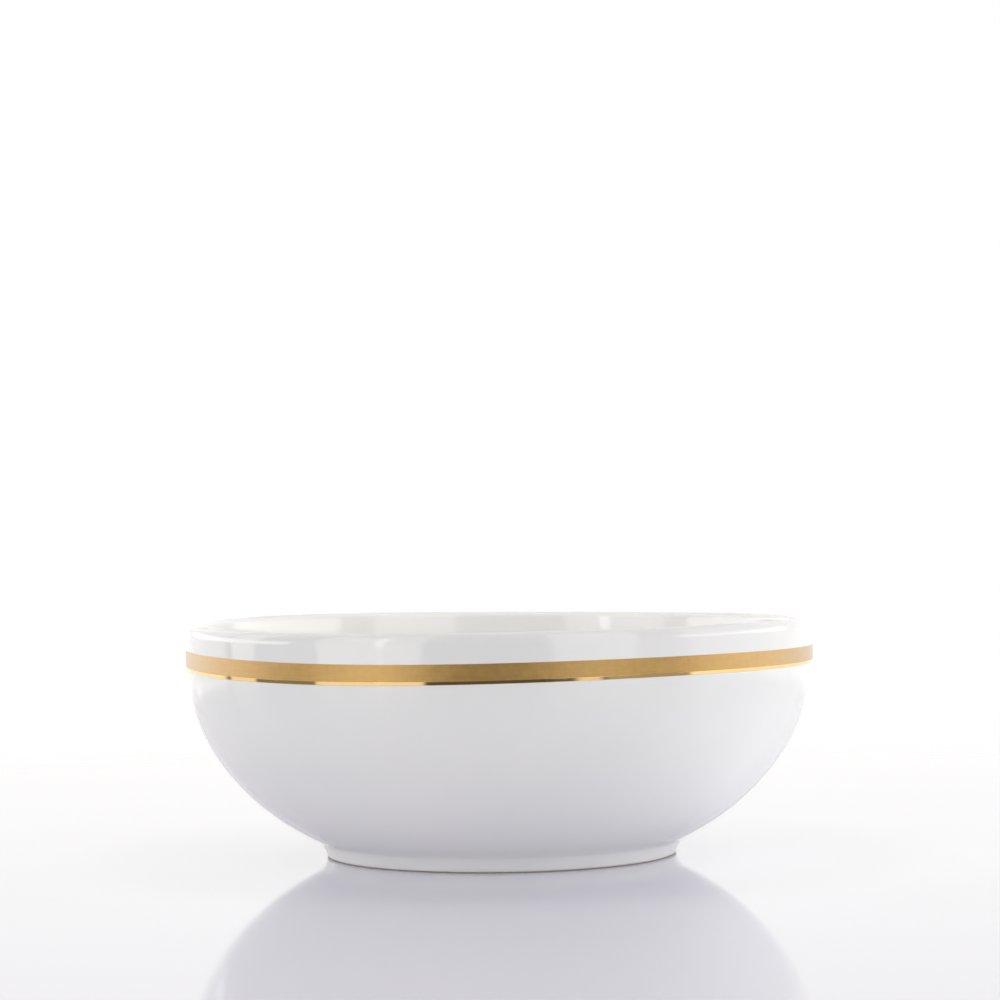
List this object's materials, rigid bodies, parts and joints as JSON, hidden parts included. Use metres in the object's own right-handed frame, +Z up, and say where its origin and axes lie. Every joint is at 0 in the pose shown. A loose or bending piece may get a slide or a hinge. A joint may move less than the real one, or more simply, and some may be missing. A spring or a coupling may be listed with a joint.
{
  "type": "porcelain serving bowl",
  "caption": "Deep round serving bowl with an upright collar on a low foot ring, circled below the collar by a matte gold band and a polished gold line.",
  "frame": {"origin": "on the bowl's axis, in the plane of the foot's bare rim", "axes": "+Z up the bowl's axis towards its mouth; +X to the right and +Y away from the viewer in the front view, though the bowl is the same all round"},
  "size_m": [0.24, 0.24, 0.09],
  "materials": {
    "fired_porcelain": "smooth fired clay, hidden under the glaze",
    "bare_foot": "unglazed, fine ground rim",
    "outer_glaze": "clear white gloss",
    "inner_glaze": "clear white gloss",
    "base_glaze": "clear white gloss",
    "matte_gold": "satin fired gold",
    "polished_gold": "mirror-bright fired gold"
  },
  "bodies": {
    "root": {"porcelain_body": "fired_porcelain", "foot_ring": "bare_foot", "outer_glaze": "outer_glaze", "inner_glaze": "inner_glaze", "base_glaze": "base_glaze", "matte_gold_band": "matte_gold", "polished_gold_line": "polished_gold"}
  },
  "joints": []
}
